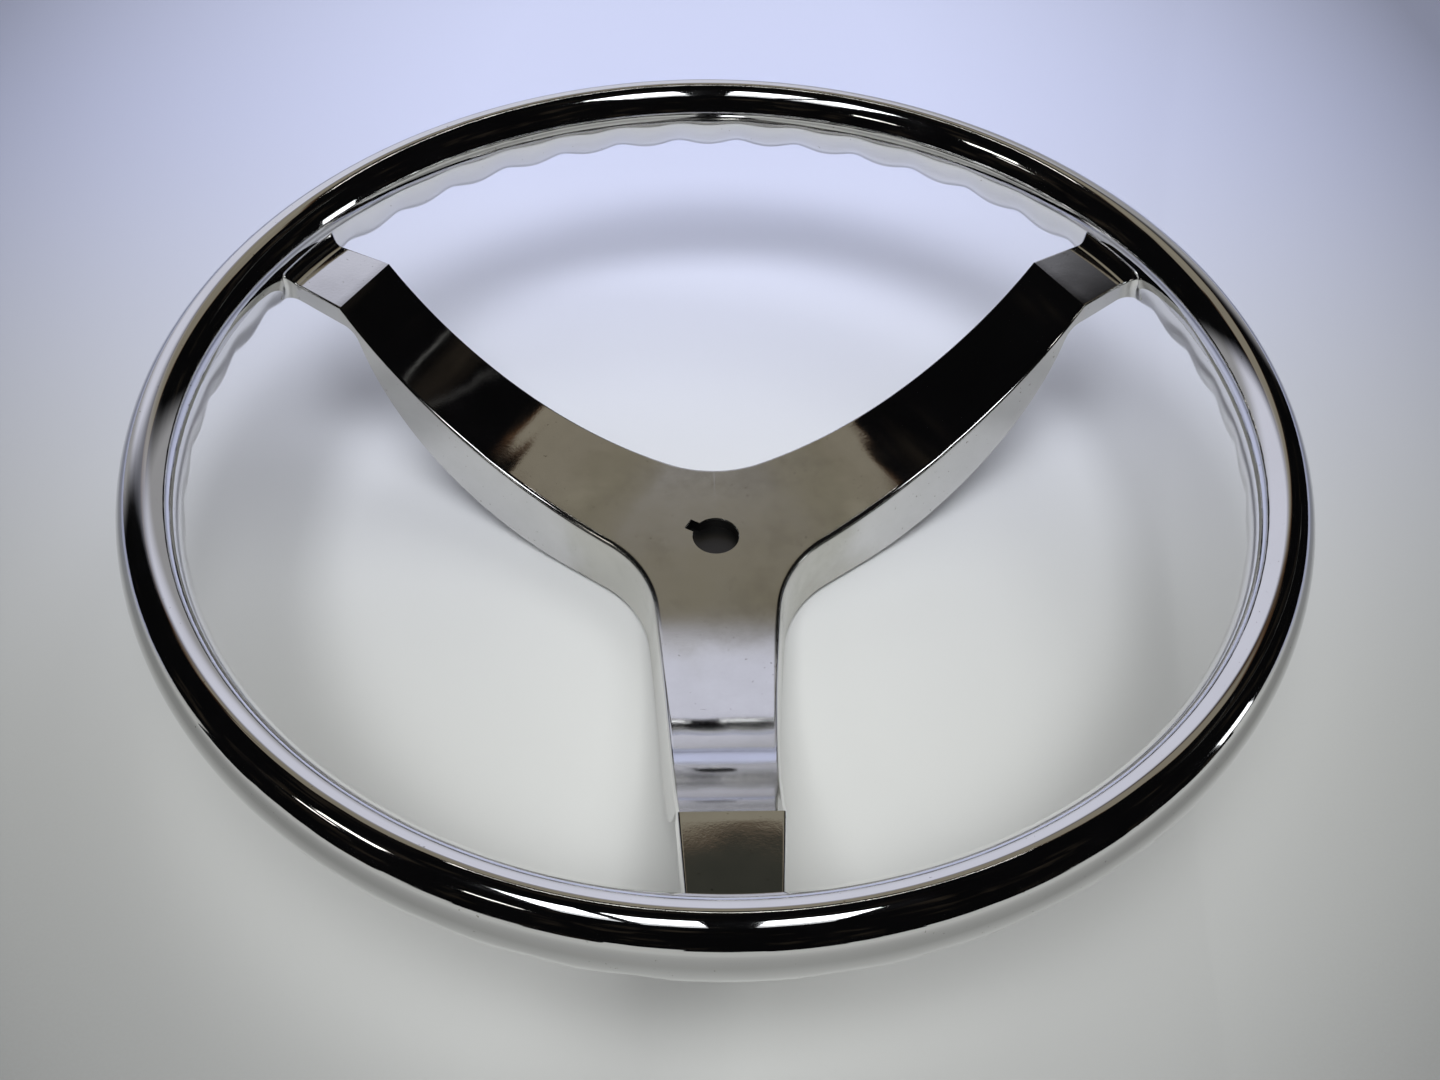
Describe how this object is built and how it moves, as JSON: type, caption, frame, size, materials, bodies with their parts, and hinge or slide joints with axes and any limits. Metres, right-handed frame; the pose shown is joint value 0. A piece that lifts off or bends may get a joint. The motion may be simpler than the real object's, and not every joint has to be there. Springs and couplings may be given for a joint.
{
  "type": "boat steering wheel",
  "caption": "Dished stainless boat steering wheel: a bent oval tube rim with finger grips underneath, welded to a cast spider of skirted spokes with a keyed taper bore.",
  "frame": {"origin": "centre of the hub's lower face, on the wheel's axis", "axes": "+Z along the wheel's axis towards the helmsman; one spoke along -Y"},
  "size_m": [0.3936, 0.3937, 0.1019],
  "materials": {
    "rim_steel": "mirror polished stainless steel",
    "casting_steel": "polished stainless steel casting"
  },
  "bodies": {
    "root": {"rim": "rim_steel", "spider": "casting_steel"}
  },
  "joints": []
}
